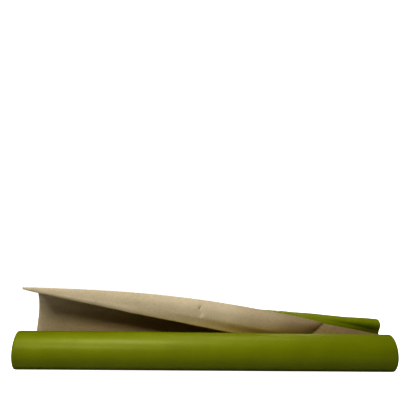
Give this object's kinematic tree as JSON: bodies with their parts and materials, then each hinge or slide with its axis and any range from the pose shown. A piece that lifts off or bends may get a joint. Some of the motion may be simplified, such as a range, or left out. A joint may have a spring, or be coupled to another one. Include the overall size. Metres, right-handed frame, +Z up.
{
  "type": "backdrop paper roll",
  "caption": "Roll of coloured backdrop paper on a wound cardboard core, its last length drawn off, curled up behind and turned back as a flap.",
  "frame": {"origin": "on the roll's axis, half way along the roll", "axes": "+X along the roll's axis, +Y towards the drawn-off sheet (away from the front), +Z up from the floor the roll lies on"},
  "size_m": [0.7, 0.1571, 0.1472],
  "materials": {
    "coloured_kraft": "matte",
    "core_board": "matte",
    "tape": "satin"
  },
  "bodies": {
    "drawn_sheet": {"lying_sheet": "coloured_kraft", "outer_turn": "coloured_kraft"},
    "wound_roll": {"core_inner_liner": "core_board", "core_body_ply_1": "core_board", "core_body_ply_2": "core_board", "core_outer_ply": "core_board", "web_start_tape": "tape", "wound_web": "coloured_kraft"},
    "standing_end": {"loose_end": "coloured_kraft"}
  },
  "joints": [
    {"name": "roll_spin", "type": "hinge", "parent": "drawn_sheet", "child": "wound_roll", "pos_m": [0, 0, 0], "axis": [1, 0, 0], "continuous": true},
    {"name": "wall_lean", "type": "hinge", "parent": "drawn_sheet", "child": "standing_end", "pos_m": [0, 0.1099, -0.00585], "axis": [-1, 0, 0], "range_deg": [0, 60], "stiffness_Nm_per_rad": 0.3}
  ]
}
